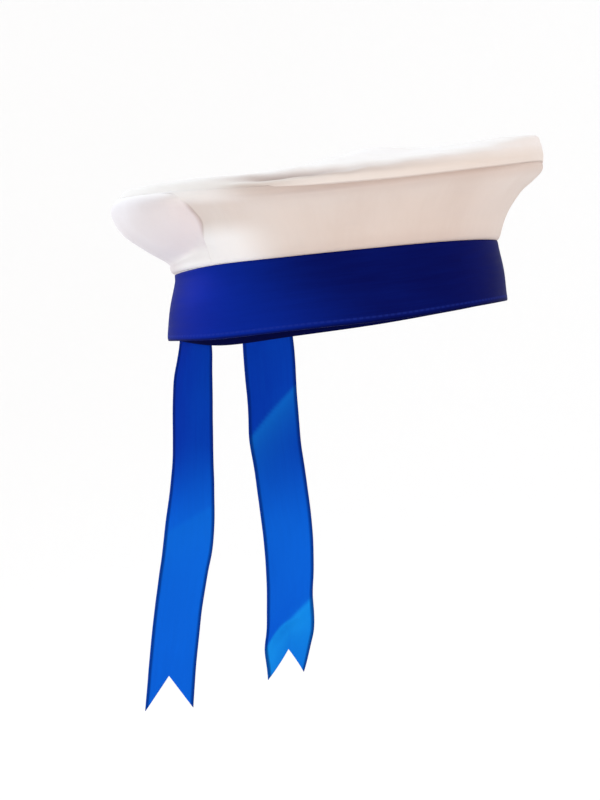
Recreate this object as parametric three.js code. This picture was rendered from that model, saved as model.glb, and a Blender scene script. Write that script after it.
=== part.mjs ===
// Sailor cap. Lengths are millimetres and +Z is up.
// The cap hangs in the air as it sits in wear: the front faces -Y, the wearer's left is +X.
// The origin is the middle of the head opening, in the plane of the headband's lower edge.
// The cap is tipped back, while the two ribbon tails behind it hang straight down.
import * as THREE from "three";

// Driving sizes
const TIP_BACK_DEG = 9.2;
const GAP = 0.3;
const TOP_CLOTH = 1.8;
const SIDE_CLOTH = 1.6;
const BAND_CLOTH = 1.5;
const RIBBON_WIDTH = 32;
const RIBBON_CLOTH = 1;
const TUCK_IN_BAND = 8;
const CROWN_CENTRE_HEIGHT = 85;
const FIELD_RADIUS = 58;
const INNER_RADIUS = 28;

// How finely the cloth is divided
const TOP_SECTIONS = 64;
const BAND_SECTIONS = 72;
const SIDE_STEP_DEG = 5;
const SEAM_STEP_DEG = 1.5;
const STEPS_PER_SPAN = 2;

// Turns a line of column names and rows of figures into named rows.
function table(columns, rows) {
  const names = columns.split(" ");
  return rows.map((row) => Object.fromEntries(names.map((name, i) => [name, row[i]])));
}

// The headband by bearing: degrees round from the front towards the wearer's left.
// The hem is its lower edge and the neck its upper edge; the hem sags at the back.
const BAND = table("bearing hem_r hem_h neck_r neck_h", [
  [0, 91.0, -0.9, 88.8, 32.6],
  [30, 91.2, -0.3, 89.5, 32.4],
  [60, 91.5, 0.3, 89.3, 33.0],
  [90, 92.0, -1.5, 88.8, 33.6],
  [120, 92.5, -3.2, 88.0, 34.0],
  [150, 93.5, -5.4, 87.0, 34.2],
  [180, 94.0, -6.5, 86.0, 34.2],
  [210, 93.0, -0.6, 85.0, 34.0],
  [240, 92.5, 0.2, 85.5, 33.9],
  [270, 93.0, -1.6, 87.3, 34.4],
  [300, 92.0, -1.7, 88.0, 33.3],
  [330, 91.0, -1.4, 88.0, 32.7],
]);

// The crown top by bearing. The seam is its turned-down edge, the fold the top of the roll
// above the seam, the puff where the padding-soft top swells, then the height further in.
const TOP = table("bearing seam_r seam_h fold_up puff_in puff_up field_h inner_h", [
  [0, 116.0, 65.7, 7.6, 7.5, 11.0, 80.5, 86.0],
  [30, 118.0, 69.5, 9.0, 6.0, 15.0, 85.0, 89.0],
  [60, 118.0, 71.0, 9.0, 6.0, 15.0, 86.0, 89.5],
  [90, 117.5, 71.5, 8.5, 8.0, 13.0, 85.5, 88.5],
  [120, 116.0, 72.0, 8.0, 8.0, 12.0, 84.0, 86.0],
  [150, 114.5, 73.5, 7.0, 8.0, 10.0, 83.5, 84.0],
  [180, 112.5, 76.0, 5.0, 8.0, 7.0, 83.5, 83.5],
  [210, 110.5, 77.2, 3.2, 6.5, 4.6, 84.0, 83.0],
  [240, 110.0, 75.0, 3.4, 7.0, 5.0, 81.5, 82.0],
  [270, 110.5, 70.5, 4.8, 8.0, 7.0, 78.4, 81.0],
  [300, 112.5, 65.4, 6.0, 8.0, 9.5, 77.6, 82.0],
  [330, 113.5, 63.5, 7.5, 8.0, 10.8, 78.8, 84.5],
]);

// The side of the crown by bearing, as steps outward and upward from the neck.
// The front half flares in a hollow curve from one side seam to the other.
const FRONT_SIDE = table("bearing low_out low_up mid_out mid_up high_out high_up wide_out wide_up", [
  [-90, 2.6, 9.5, 8.0, 20.0, 15.0, 27.5, 21.5, 33.0],
  [-84, 4.6, 11.0, 10.4, 21.5, 16.8, 28.0, 22.0, 32.5],
  [-60, 4.6, 12.0, 11.3, 22.0, 17.2, 27.2, 21.8, 30.4],
  [-30, 4.4, 12.0, 11.6, 21.0, 17.6, 26.2, 22.2, 29.4],
  [0, 5.0, 12.5, 12.8, 22.3, 19.2, 27.6, 24.6, 31.6],
  [30, 5.0, 13.0, 13.6, 24.4, 20.6, 30.0, 25.8, 34.2],
  [60, 5.0, 13.0, 13.6, 25.0, 21.0, 30.5, 26.0, 35.0],
  [84, 4.4, 12.0, 12.4, 23.5, 19.8, 30.0, 25.6, 35.0],
  [90, 2.4, 10.5, 9.6, 21.5, 17.4, 29.5, 24.6, 35.2],
]);

// The back half hangs out over the band as a soft pouch, pulled in at both side seams.
const BACK_SIDE = table("bearing low_out low_up mid_out mid_up high_out high_up wide_out wide_up", [
  [90, 1.6, 9.0, 9.0, 19.5, 17.8, 27.0, 25.0, 34.0],
  [96, 2.4, 7.6, 14.6, 18.0, 24.6, 27.0, 28.6, 35.0],
  [120, 1.5, 7.5, 14.6, 18.0, 26.0, 28.0, 30.0, 36.0],
  [150, 1.2, 7.2, 14.4, 18.5, 26.0, 28.8, 29.8, 37.2],
  [180, 1.0, 7.2, 14.2, 18.8, 26.2, 29.6, 29.4, 38.4],
  [210, 1.0, 7.2, 14.0, 18.8, 26.2, 30.2, 28.9, 39.4],
  [240, 1.0, 7.2, 13.6, 18.3, 25.2, 28.6, 28.2, 37.6],
  [264, 1.4, 7.4, 13.0, 17.2, 23.2, 25.6, 27.2, 34.0],
  [270, 1.6, 8.6, 8.0, 19.0, 15.4, 26.2, 21.8, 33.2],
]);

// Soft creases that run up the side of the crown: where, how wide and how far they stand out.
const CREASES = table("bearing half_width rise", [
  [-78, 5, 0.9],
  [-22, 5, -0.8],
  [8, 6, 0.9],
  [36, 5, -0.7],
  [112, 7, -1.0],
  [138, 7, 1.0],
  [171, 8, -1.1],
  [198, 8, 0.9],
  [229, 7, -0.9],
  [251, 6, 0.8],
]);

// Ribbon tails, a row per station from the stitched upper end down to the points.
// The facing is the bearing the outer face looks to; the bow hollows it across its width.
const RIGHT_TAIL = table("x y z facing bow", [
  [-21.2, 88.8, 16.0, 194, 1.4],
  [-22.0, 89.8, 2.0, 194, 1.4],
  [-22.6, 90.1, -10.0, 194, 1.4],
  [-22.9, 90.4, -18.0, 193, 1.4],
  [-22.8, 91.3, -26.0, 189, 1.6],
  [-23.1, 92.5, -37.0, 185, 1.8],
  [-23.1, 93.5, -51.0, 183, 2.4],
  [-21.8, 95.0, -72.0, 182, 2.6],
  [-20.6, 96.0, -86.0, 180, 2.4],
  [-19.6, 97.0, -100.0, 175, 2.0],
  [-19.3, 98.0, -114.0, 168, 1.2],
  [-20.3, 99.0, -127.0, 163, 0.5],
  [-22.1, 100.0, -141.0, 162, 0.6],
  [-24.2, 101.0, -154.0, 163, 0.9],
  [-26.7, 102.0, -175.0, 166, 1.0],
  [-28.0, 103.0, -192.0, 168, 0.8],
  [-29.2, 104.0, -209.0, 169, 0.5],
  [-30.6, 105.0, -232.0, 168, 0.3],
]);
const LEFT_TAIL = table("x y z facing bow", [
  [30.4, 87.4, 16.0, 160, 1.4],
  [31.4, 87.6, 2.0, 160, 1.4],
  [32.0, 87.4, -10.0, 160, 1.4],
  [32.4, 87.2, -18.0, 159, 1.4],
  [34.2, 87.8, -27.0, 155, 1.2],
  [36.0, 87.5, -43.0, 153, 1.0],
  [37.2, 87.0, -57.0, 157, 0.8],
  [38.8, 86.5, -79.0, 160, 0.8],
  [40.7, 86.0, -94.0, 160, 1.2],
  [43.1, 85.8, -109.0, 158, 1.4],
  [45.4, 85.5, -124.0, 157, 1.4],
  [47.1, 85.0, -139.0, 158, 1.6],
  [48.1, 84.8, -153.0, 160, 1.8],
  [48.9, 84.5, -168.0, 160, 1.6],
  [49.2, 84.3, -183.0, 161, 1.6],
  [48.7, 84.0, -196.0, 165, 1.8],
  [48.0, 83.8, -208.0, 170, 2.2],
  [48.3, 83.5, -224.0, 176, 2.6],
]);

// The cut of the tails' lower ends
const NOTCH_START_Z = -190;
const RIGHT_NOTCH = 20;
const LEFT_NOTCH = 17;
const COLUMNS_ACROSS_TAIL = [-1, -0.5, 0, 0.5, 1];

// A column's value at a bearing, on a smooth curve through the rows.
// A closed table runs on round the whole circle; an open one stops at its end rows.
function valueAt(rows, column, bearing, closed) {
  const count = rows.length;
  const pick = (i) => (closed ? ((i % count) + count) % count : Math.max(0, Math.min(count - 1, i)));
  const value = (i) => rows[pick(i)][column];
  const place = (i) => rows[pick(i)].bearing + (closed ? 360 * Math.floor(i / count) : 0);
  const spot = closed ? ((bearing % 360) + 360) % 360 : bearing;
  const last = closed ? count - 1 : count - 2;
  let row = 0;
  while (row < last && place(row + 1) <= spot) row += 1;
  const span = place(row + 1) - place(row);
  const share = (spot - place(row)) / span;
  const rise = (i) => span * (value(i + 1) - value(i - 1)) / (place(i + 1) - place(i - 1));
  const squared = share * share;
  const cubed = squared * share;
  return value(row) * (2 * cubed - 3 * squared + 1) + rise(row) * (cubed - 2 * squared + share)
    + value(row + 1) * (3 * squared - 2 * cubed) + rise(row + 1) * (cubed - squared);
}

// Reads every column of a table at one bearing.
function rowAt(rows, bearing, closed) {
  const names = Object.keys(rows[0]);
  return Object.fromEntries(names.map((name) => [name, valueAt(rows, name, bearing, closed)]));
}

// A smooth line through [radius, height] points.
function smooth(points) {
  const curve = new THREE.CatmullRomCurve3(points.map(([r, h]) => new THREE.Vector3(r, h, 0)));
  return curve.getPoints(STEPS_PER_SPAN * (points.length - 1)).map((point) => [point.x, point.y]);
}

// The same [radius, height] points moved in by the thickness of the cloth.
function inward(points, thickness) {
  return points.map(([r, h], i) => {
    const [r0, h0] = points[Math.max(0, i - 1)];
    const [r1, h1] = points[Math.min(points.length - 1, i + 1)];
    const length = Math.hypot(r1 - r0, h1 - h0);
    return [r - (thickness * (h1 - h0)) / length, h + (thickness * (r1 - r0)) / length];
  });
}

// Places a [radius, height] point at a bearing round the cap.
function placed([r, h], bearing) {
  const angle = THREE.MathUtils.degToRad(bearing);
  return new THREE.Vector3(r * Math.sin(angle), -r * Math.cos(angle), h);
}

// Joins sections of equal length into one closed skin. Each section is an outer line of points
// followed by the inner line back. Round pieces meet themselves again; the others get flat ends.
// With two centre points the sections are open there and close on those points instead.
function loft(sections, round, centres) {
  const size = sections[0].length;
  const positions = sections.flat().flatMap((point) => [point.x, point.y, point.z]);
  const faces = [];
  const id = (i, j) => (i % sections.length) * size + (j % size);
  const quad = (a, b, c, d) => faces.push(a, b, c, a, c, d);
  const laps = round ? sections.length : sections.length - 1;
  const rungs = centres ? size - 1 : size;
  for (let i = 0; i < laps; i += 1) {
    for (let j = 0; j < rungs; j += 1) quad(id(i, j), id(i + 1, j), id(i + 1, j + 1), id(i, j + 1));
  }
  if (centres) {
    centres.forEach((centre) => positions.push(centre.x, centre.y, centre.z));
    const below = sections.length * size;
    for (let i = 0; i < laps; i += 1) {
      faces.push(below, id(i + 1, 0), id(i, 0));
      faces.push(below + 1, id(i, size - 1), id(i + 1, size - 1));
    }
  } else if (!round) {
    const end = sections.length - 1;
    for (let j = 0; j < size / 2 - 1; j += 1) {
      quad(id(0, j), id(0, j + 1), id(0, size - 2 - j), id(0, size - 1 - j));
      quad(id(end, size - 1 - j), id(end, size - 2 - j), id(end, j + 1), id(end, j));
    }
  }
  const geometry = new THREE.BufferGeometry();
  geometry.setAttribute("position", new THREE.Float32BufferAttribute(positions, 3));
  geometry.setIndex(faces);
  geometry.computeVertexNormals();
  return geometry;
}

// Evenly spread bearings for a piece that goes all the way round.
function fullCircle(count) {
  return Array.from({ length: count }, (unused, i) => (360 * i) / count);
}

// Bearings for a half ring, closer together where it is pulled in at its two seams.
function halfCircle(from, to) {
  const seamGap = THREE.MathUtils.radToDeg(GAP / 2 / BAND[0].neck_r);
  const bearings = [from + seamGap, from + SEAM_STEP_DEG, from + 2 * SEAM_STEP_DEG];
  for (let b = from + SIDE_STEP_DEG; b <= to - SIDE_STEP_DEG; b += SIDE_STEP_DEG) bearings.push(b);
  return [...bearings, to - 2 * SEAM_STEP_DEG, to - SEAM_STEP_DEG, to - seamGap];
}

// Headband: one doubled strip of satin round the head, slightly full between its two edges.
const BAND_FULLNESS = 0.8;
const BAND_EDGE_ROUND = 0.5;
function headbandSection(bearing) {
  const { hem_r, hem_h, neck_r, neck_h } = rowAt(BAND, bearing, true);
  const middle = [(hem_r + neck_r) / 2 + BAND_FULLNESS, (hem_h + neck_h) / 2];
  const outer = [
    [hem_r - BAND_EDGE_ROUND, hem_h],
    [hem_r, hem_h + BAND_EDGE_ROUND],
    middle,
    [neck_r, neck_h - BAND_EDGE_ROUND],
    [neck_r - BAND_EDGE_ROUND, neck_h],
  ];
  const inner = [
    [hem_r - BAND_CLOTH, hem_h],
    [middle[0] - BAND_CLOTH, middle[1]],
    [neck_r - BAND_CLOTH, neck_h],
  ];
  return [...outer, ...inner.reverse()].map((point) => placed(point, bearing));
}
const headbandShape = loft(fullCircle(BAND_SECTIONS).map(headbandSection), true);

// Crown top: a round top piece whose edge turns down in a soft roll to the rim seam.
const ROLL_SHARE = 0.24;
const ROLL_HEIGHT_SHARE = 0.45;
const SHOULDER_IN = 26;
const SHOULDER_SHARE = 0.55;
function crownTopSection(bearing) {
  const row = rowAt(TOP, bearing, true);
  const seam = [row.seam_r, row.seam_h];
  const roll = [row.seam_r + ROLL_SHARE * row.fold_up, row.seam_h + ROLL_HEIGHT_SHARE * row.fold_up];
  const rest = [
    [row.seam_r + 0.1, row.seam_h + row.fold_up],
    [row.seam_r - row.puff_in, row.seam_h + row.puff_up],
    [
      row.seam_r - SHOULDER_IN,
      SHOULDER_SHARE * (row.seam_h + row.puff_up) + (1 - SHOULDER_SHARE) * row.field_h,
    ],
    [FIELD_RADIUS, row.field_h],
    [INNER_RADIUS, row.inner_h],
  ];
  const outer = smooth([seam, roll, ...rest]);
  const inner = smooth(inward([seam, ...rest], TOP_CLOTH));
  return [...inner.reverse(), ...outer].map((point) => placed(point, bearing));
}
const crownTopShape = loft(fullCircle(TOP_SECTIONS).map(crownTopSection), true, [
  new THREE.Vector3(0, 0, CROWN_CENTRE_HEIGHT - TOP_CLOTH),
  new THREE.Vector3(0, 0, CROWN_CENTRE_HEIGHT),
]);

// Side of the crown: its lower edge is tucked inside the headband and its upper edge
// inside the roll of the crown top.
const TUCK_IN_ROLL_SHARE = 0.6;
const TUCK_IN_ROLL_LESS = 1.3;
function creaseAt(bearing) {
  return CREASES.reduce((total, crease) => {
    const away = (bearing - crease.bearing) / crease.half_width;
    return total + crease.rise * Math.exp(-away * away);
  }, 0);
}
function sideSection(rows, bearing) {
  const side = rowAt(rows, bearing, false);
  const { neck_r, neck_h } = rowAt(BAND, bearing, true);
  const { seam_r, seam_h, fold_up } = rowAt(TOP, bearing, true);
  const tucked = neck_r - BAND_CLOTH - GAP;
  const underRoll = seam_r - TOP_CLOTH - GAP;
  const tuckUp = Math.max(GAP, TUCK_IN_ROLL_SHARE * fold_up - TUCK_IN_ROLL_LESS);
  const crease = creaseAt(bearing);
  const outer = smooth([
    [tucked, neck_h - TUCK_IN_BAND],
    [tucked, neck_h + GAP],
    [neck_r + 0.2, neck_h + 2.2],
    [neck_r + side.low_out, neck_h + side.low_up],
    [neck_r + side.mid_out + crease, neck_h + side.mid_up],
    [neck_r + side.high_out + crease, neck_h + side.high_up],
    [neck_r + side.wide_out, neck_h + side.wide_up],
    [underRoll, seam_h],
    [underRoll, seam_h + tuckUp],
  ]);
  const inner = inward(outer, SIDE_CLOTH);
  return [...outer, ...inner.reverse()].map((point) => placed(point, bearing));
}
const frontSideShape = loft(halfCircle(-90, 90).map((b) => sideSection(FRONT_SIDE, b)), false);
const backSideShape = loft(halfCircle(90, 270).map((b) => sideSection(BACK_SIDE, b)), false);

// Ribbon tail: a flat satin ribbon with two points cut at its lower end.
function tailShape(rows, notch) {
  const bottom = rows[rows.length - 1].z;
  const sections = rows.map(({ x, y, z, facing, bow }) => {
    const angle = THREE.MathUtils.degToRad(facing);
    const across = new THREE.Vector3(Math.cos(angle), Math.sin(angle), 0);
    const outward = new THREE.Vector3(Math.sin(angle), -Math.cos(angle), 0);
    const line = (columns, lift) => columns.map((column) => {
      const shorter = notch * (1 - Math.abs(column));
      const below = Math.min(0, z - NOTCH_START_Z) / (bottom - NOTCH_START_Z);
      return new THREE.Vector3(x, y, z + shorter * below)
        .addScaledVector(across, (column * RIBBON_WIDTH) / 2)
        .addScaledVector(outward, lift - bow * column * column);
    });
    const backwards = [...COLUMNS_ACROSS_TAIL].reverse();
    const half = RIBBON_CLOTH / 2;
    return [...line(COLUMNS_ACROSS_TAIL, half), ...line(backwards, -half)];
  });
  return loft(sections, false);
}

// One named piece in its own material.
function piece(name, shape, colour, roughness) {
  const material = new THREE.MeshStandardMaterial({ color: colour, roughness, metalness: 0 });
  const mesh = new THREE.Mesh(shape, material);
  mesh.name = name;
  return mesh;
}

const cap = new THREE.Group();
cap.name = "cap";
cap.rotation.x = -THREE.MathUtils.degToRad(TIP_BACK_DEG);
cap.add(
  piece("crown_top", crownTopShape, 0xf2eeea, 0.85),
  piece("crown_front_panel", frontSideShape, 0xece4df, 0.85),
  piece("crown_back_panel", backSideShape, 0xebe3e2, 0.85),
  piece("headband", headbandShape, 0x14237c, 0.45),
);

const sailorCap = new THREE.Group();
sailorCap.name = "sailor_cap";
sailorCap.add(
  cap,
  piece("ribbon_tail_right", tailShape(RIGHT_TAIL, RIGHT_NOTCH), 0x165bc8, 0.4),
  piece("ribbon_tail_left", tailShape(LEFT_TAIL, LEFT_NOTCH), 0x1350b4, 0.4),
);

export default sailorCap;
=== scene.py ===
from math import atan2, cos, degrees, exp, hypot, pi, radians, sin
from types import SimpleNamespace

import bmesh
import bpy
from mathutils import Matrix, Vector, noise


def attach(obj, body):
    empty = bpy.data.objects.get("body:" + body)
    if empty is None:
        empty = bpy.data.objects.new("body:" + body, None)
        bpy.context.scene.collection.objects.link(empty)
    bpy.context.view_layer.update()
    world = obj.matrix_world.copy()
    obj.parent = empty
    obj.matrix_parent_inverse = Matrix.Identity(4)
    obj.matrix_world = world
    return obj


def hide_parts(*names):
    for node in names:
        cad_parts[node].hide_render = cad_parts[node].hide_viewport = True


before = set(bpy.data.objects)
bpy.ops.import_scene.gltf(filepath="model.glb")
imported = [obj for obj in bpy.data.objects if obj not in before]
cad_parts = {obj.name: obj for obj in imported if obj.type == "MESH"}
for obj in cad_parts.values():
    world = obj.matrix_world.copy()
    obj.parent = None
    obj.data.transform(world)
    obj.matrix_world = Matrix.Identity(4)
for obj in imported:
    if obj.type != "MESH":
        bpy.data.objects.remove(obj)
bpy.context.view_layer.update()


# Headband. A strip of dark blue satin folded double and joined into a ring, which the cap is
# worn by. Its lower edge is turned up and stitched, and it sags a little at the back.

MM = 0.001
TIP_BACK_DEG = 9.2
BAND_CLOTH = 1.5
BAND_FULLNESS = 0.8
BAND_EASE = 0.25
BAND_EASE_WAVES = 3.1
BAND_MIDDLE_RADIUS = 90.0
BAND_AROUND = 288
BAND_THREADS = 60
BAND_CURVE_STEPS = 6


def table(columns, *rows):
    """Rows of figures under named columns."""
    return [dict(zip(columns.split(), row)) for row in rows]


# Bearings run round from the front towards the wearer's left, in degrees; lengths in mm.
BAND = table(
    "bearing hem_r hem_h neck_r neck_h",
    (0, 91.0, -2.8, 88.8, 32.6),
    (30, 91.2, -1.0, 89.5, 32.4),
    (60, 91.5, -0.6, 89.3, 33.0),
    (90, 92.0, -2.4, 88.8, 33.6),
    (120, 92.5, -4.7, 88.0, 34.0),
    (150, 93.5, -5.8, 87.0, 34.2),
    (180, 94.0, -6.5, 86.0, 34.2),
    (210, 93.0, -1.4, 85.0, 34.0),
    (240, 92.5, -2.0, 85.5, 33.9),
    (270, 93.0, -4.1, 87.3, 34.4),
    (300, 92.0, -4.4, 88.0, 33.3),
    (330, 91.0, -4.7, 88.0, 32.7),
)


def value_at(rows, column, bearing, closed=True):
    """A column's value on a smooth curve through the rows; a closed table runs on round."""
    count = len(rows)

    def pick(i):
        return rows[i % count] if closed else rows[max(0, min(count - 1, i))]

    def place(i):
        return pick(i)["bearing"] + (360 * (i // count) if closed else 0)

    spot = bearing % 360 if closed else bearing
    row = 0
    while row < (count - 1 if closed else count - 2) and place(row + 1) <= spot:
        row += 1
    span = place(row + 1) - place(row)
    share = (spot - place(row)) / span

    def rise(i):
        return span * (pick(i + 1)[column] - pick(i - 1)[column]) / (place(i + 1) - place(i - 1))

    squared = share * share
    cubed = squared * share
    return (
        pick(row)[column] * (2 * cubed - 3 * squared + 1)
        + rise(row) * (cubed - 2 * squared + share)
        + pick(row + 1)[column] * (3 * squared - 2 * cubed)
        + rise(row + 1) * (cubed - squared)
    )


def row_at(rows, bearing, closed=True):
    """Every column of a table at one bearing."""
    return {name: value_at(rows, name, bearing, closed) for name in rows[0]}


def curve(a, b, c, d, s):
    """On a smooth curve from b, where s is 0, to c, where it is 1, with a before and d after."""
    return 0.5 * (
        2 * b + (c - a) * s + (2 * a - 5 * b + 4 * c - d) * s * s + (3 * b - a - 3 * c + d) * s ** 3
    )


def smooth(points, steps):
    """A smooth line through [radius, height] points, with that many steps to each span."""
    extended = [[2 * a - b for a, b in zip(points[0], points[1])]]
    extended += points
    extended += [[2 * a - b for a, b in zip(points[-1], points[-2])]]
    line = []
    for four in zip(extended, extended[1:], extended[2:], extended[3:]):
        for step in range(steps):
            line.append([curve(*values, step / steps) for values in zip(*four)])
    return line + [list(points[-1])]


def spread(line, count):
    """The same line cut again into that many even steps."""
    runs = [0.0]
    for a, b in zip(line, line[1:]):
        runs.append(runs[-1] + hypot(b[0] - a[0], b[1] - a[1]))
    points = []
    span = 0
    for i in range(count + 1):
        reach = runs[-1] * i / count
        while span < len(line) - 2 and runs[span + 1] < reach:
            span += 1
        share = (reach - runs[span]) / (runs[span + 1] - runs[span])
        points.append([p + (q - p) * share for p, q in zip(line[span], line[span + 1])])
    return points, runs[-1]


tip_back = Matrix.Rotation(-radians(TIP_BACK_DEG), 3, "X")


def on_cap(radius, height, bearing):
    """A place on the tipped cap, in metres."""
    angle = radians(bearing)
    return tip_back @ Vector((radius * sin(angle), -radius * cos(angle), height)) * MM


def spun_cloth(name, line_at, threads, start, sweep, steps, ring=False):
    """Spins a straight row of threads round the cap's axis, then lays each along its own line.

    line_at gives the [radius, height] points and the length of the line at a bearing. The
    cloth map holds metres along the cloth: round the cap, and up from the line's start. Each
    point also keeps how far it is past the line's start and from its end, in mm.
    """
    bm = bmesh.new()
    first = Matrix.Rotation(radians(start), 3, "Z") @ Vector((0, -1, 0))
    knots = [bm.verts.new(first * (1 + i)) for i in range(threads + 1)]
    for a, b in zip(knots, knots[1:]):
        bm.edges.new((a, b))
    if ring:
        bm.edges.new((knots[-1], knots[0]))
    bmesh.ops.spin(
        bm, geom=bm.verts[:] + bm.edges[:], cent=(0, 0, 0), axis=(0, 0, 1),
        angle=radians(sweep), steps=steps, use_merge=sweep == 360,
    )
    cloth_map = bm.loops.layers.uv.new("cloth")
    bm.verts.layers.float.new("past_start")
    bm.verts.layers.float.new("to_end")
    past_start = bm.verts.layers.float["past_start"]
    to_end = bm.verts.layers.float["to_end"]
    step = sweep / steps
    places = {}
    lines = {}
    for vert in bm.verts:
        swept = (degrees(atan2(vert.co.x, -vert.co.y)) - start) % 360
        turn = round(swept / step) % round(360 / step)
        row = round(vert.co.to_2d().length) - 1
        places[vert] = (turn, row)
        if turn not in lines:
            lines[turn] = line_at(start + turn * step)
    for vert, (turn, row) in places.items():
        line, length = lines[turn]
        radius, height = line[row]
        vert.co = on_cap(radius, height, start + turn * step)
        vert[past_start] = length * row / threads
        vert[to_end] = length - vert[past_start]
    # A face that closes the turn or the ring takes the next lap's figures on its far side.
    for face in bm.faces:
        turns = [places[loop.vert][0] for loop in face.loops]
        laps = steps if max(turns) - min(turns) > steps / 2 and sweep == 360 else 0
        rows = [places[loop.vert][1] for loop in face.loops]
        back = threads + 1 if max(rows) - min(rows) > threads / 2 else 0
        for loop in face.loops:
            turn, row = places[loop.vert]
            length = lines[turn][1]
            along = start + (turn + (laps if turn < steps / 2 else 0)) * step
            up = row + (back if row < threads / 2 else 0)
            loop[cloth_map].uv = (
                radians(along) * BAND_MIDDLE_RADIUS * MM, length * up / threads * MM
            )
    bmesh.ops.recalc_face_normals(bm, faces=bm.faces[:])
    for face in bm.faces:
        face.smooth = True
    mesh = bpy.data.meshes.new(name)
    bm.to_mesh(mesh)
    bm.free()
    piece = bpy.data.objects.new(name, mesh)
    bpy.context.scene.collection.objects.link(piece)
    return piece


def band_line(bearing):
    """Round the folded strip: up the outer face, over the neck edge and down the inner face."""
    band = row_at(BAND, bearing)
    hem_r, hem_h, neck_r, neck_h = (band[k] for k in ("hem_r", "hem_h", "neck_r", "neck_h"))
    angle = radians(bearing)
    waves = BAND_EASE_WAVES
    ease = BAND_EASE * noise.noise(Vector((waves * cos(angle), waves * sin(angle), 2.0)))
    middle_r = (hem_r + neck_r) / 2 + BAND_FULLNESS + ease
    middle_h = (hem_h + neck_h) / 2
    # Each point goes out and up in mm from the hem, the middle or the neck edge.
    points = [
        [hem_r - 0.15, hem_h + 0.35],
        [hem_r + 0.1, hem_h + 1.4],
        [hem_r + (middle_r - hem_r) * 0.13, hem_h + 5.2],
        [middle_r, middle_h],
        [neck_r + 0.35, neck_h - 4.6],
        [neck_r + 0.05, neck_h - 1.2],
        [neck_r - 0.3, neck_h - 0.25],
        [neck_r - BAND_CLOTH / 2, neck_h],
        [neck_r - BAND_CLOTH + 0.3, neck_h - 0.3],
        [neck_r - BAND_CLOTH, neck_h - 1.4],
        [middle_r - BAND_CLOTH, middle_h],
        [hem_r - BAND_CLOTH, hem_h + 1.4],
        [hem_r - BAND_CLOTH + 0.3, hem_h + 0.3],
        [hem_r - BAND_CLOTH / 2 - 0.1, hem_h],
    ]
    line, length = spread(smooth(points + [points[0]], BAND_CURVE_STEPS), BAND_THREADS)
    return line[:-1], length


class Dye:
    """A number, colour or vector on its way through a finish; sums on it add Math nodes."""

    # The colour sockets of a Mix node go by number, as others there have the same names.
    FIRST_COLOUR = 6
    SECOND_COLOUR = 7
    BLENDED_COLOUR = 2

    def __init__(self, tree, socket):
        self.tree = tree
        self.socket = socket

    def node(self, kind, settings=None, sockets=None, output=0):
        """Adds a node to the finish: its settings first, then its sockets' values or links."""
        node = self.tree.nodes.new(kind)
        for key, value in (settings or {}).items():
            setattr(node, key, value)
        for key, value in (sockets or {}).items():
            if isinstance(value, Dye):
                self.tree.links.new(value.socket, node.inputs[key])
            else:
                node.inputs[key].default_value = value
        return Dye(self.tree, node.outputs[output])

    def other(self, output):
        """Another output of the same node."""
        return Dye(self.tree, self.socket.node.outputs[output])

    def maths(self, operation, *values):
        return self.node("ShaderNodeMath", {"operation": operation}, dict(enumerate(values)))

    def __add__(self, other):
        return self.maths("ADD", self, other)

    __radd__ = __add__

    def __sub__(self, other):
        return self.maths("SUBTRACT", self, other)

    def __rsub__(self, other):
        return self.maths("SUBTRACT", other, self)

    def __mul__(self, other):
        return self.maths("MULTIPLY", self, other)

    __rmul__ = __mul__

    def __truediv__(self, other):
        return self.maths("DIVIDE", self, other)

    def __pow__(self, other):
        return self.maths("POWER", self, other)

    def wave(self):
        """The sine of it."""
        return self.maths("SINE", self)

    def held(self):
        """It, held between 0 and 1."""
        return self.node("ShaderNodeClamp", None, {"Value": self})

    def away_from(self, value):
        """How far it is from a value, on either side."""
        return self.maths("ABSOLUTE", self - value)

    def step(self, low, high):
        """0 below low, 1 above high, and a soft rise between."""
        return self.node(
            "ShaderNodeMapRange", {"interpolation_type": "SMOOTHSTEP"},
            {"Value": self, "From Min": low, "From Max": high, "To Min": 0.0, "To Max": 1.0},
        )

    def blend(self, first, second):
        """From the first colour to the second as this goes from 0 to 1."""
        return self.node(
            "ShaderNodeMix", {"data_type": "RGBA"},
            {"Factor": self, self.FIRST_COLOUR: first, self.SECOND_COLOUR: second},
            self.BLENDED_COLOUR,
        )

    def grain(self, place, scale, detail, stretch=(1, 1, 1)):
        """Soft noise from 0 to 1 at that many blotches a metre, stretched along the cloth."""
        laid = self.node("ShaderNodeMapping", None, {"Vector": place, "Scale": stretch})
        return self.node(
            "ShaderNodeTexNoise", None,
            {"Vector": laid, "Scale": scale, "Detail": detail, "Roughness": 0.55},
        )

    def raised(self, depth):
        """A surface that stands out by this, times a depth in metres."""
        return self.node("ShaderNodeBump", None, {"Strength": 0.3, "Distance": depth, "Height": self})


def colour(red, green, blue):
    """A colour picked on screen, from 0 to 255, as the light it stands for."""
    def light(value):
        share = value / 255
        return share / 12.92 if share <= 0.04045 else ((share + 0.055) / 1.055) ** 2.4

    return (light(red), light(green), light(blue), 1.0)


def finish(name, slot_colour, constants):
    """A new finish with one Principled shader, and a first Dye to build its nodes from."""
    material = bpy.data.materials.new(name)
    material.use_nodes = True
    material.diffuse_color = slot_colour
    shader = material.node_tree.nodes["Principled BSDF"]
    for key, value in constants.items():
        shader.inputs[key].default_value = value
    return material, Dye(material.node_tree, None)


def dress(material, **links):
    """Feeds a finish's shader: each name with its words joined is a socket of the shader."""
    tree = material.node_tree
    shader = tree.nodes["Principled BSDF"]
    for key, value in links.items():
        tree.links.new(value.socket, shader.inputs[key.replace("_", " ")])


def kept(dye, name):
    """A number kept on the cloth at each point."""
    return dye.node("ShaderNodeAttribute", {"attribute_name": name}, None, "Fac")


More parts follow.
